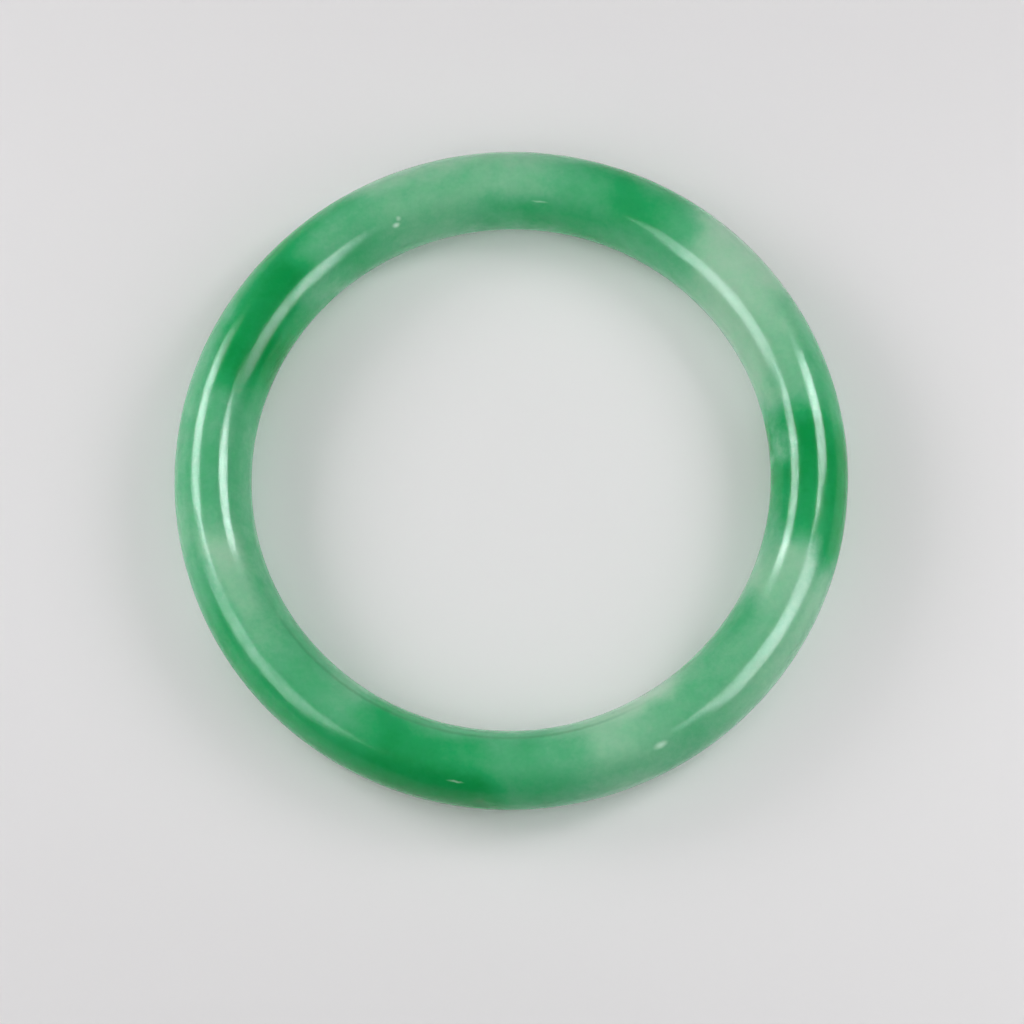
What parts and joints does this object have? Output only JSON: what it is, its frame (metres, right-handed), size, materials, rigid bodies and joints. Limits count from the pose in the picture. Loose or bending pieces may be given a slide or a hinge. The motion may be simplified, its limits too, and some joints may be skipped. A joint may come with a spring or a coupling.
{
  "type": "bangle bracelet",
  "caption": "Solid carved jade bangle: a plain closed ring of oval section, polished all over, worn loose on the wrist.",
  "frame": {"origin": "centre of the wrist opening, at the height of the surface that the ring lies on", "axes": "+Z along the ring's axis, up from the surface it lies on; +X and +Y across the opening, with the palest third of the jade towards +X+Y"},
  "size_m": [0.0728, 0.0728, 0.0102],
  "materials": {
    "jade": "polished"
  },
  "bodies": {
    "root": {"bangle": "jade"}
  },
  "joints": []
}
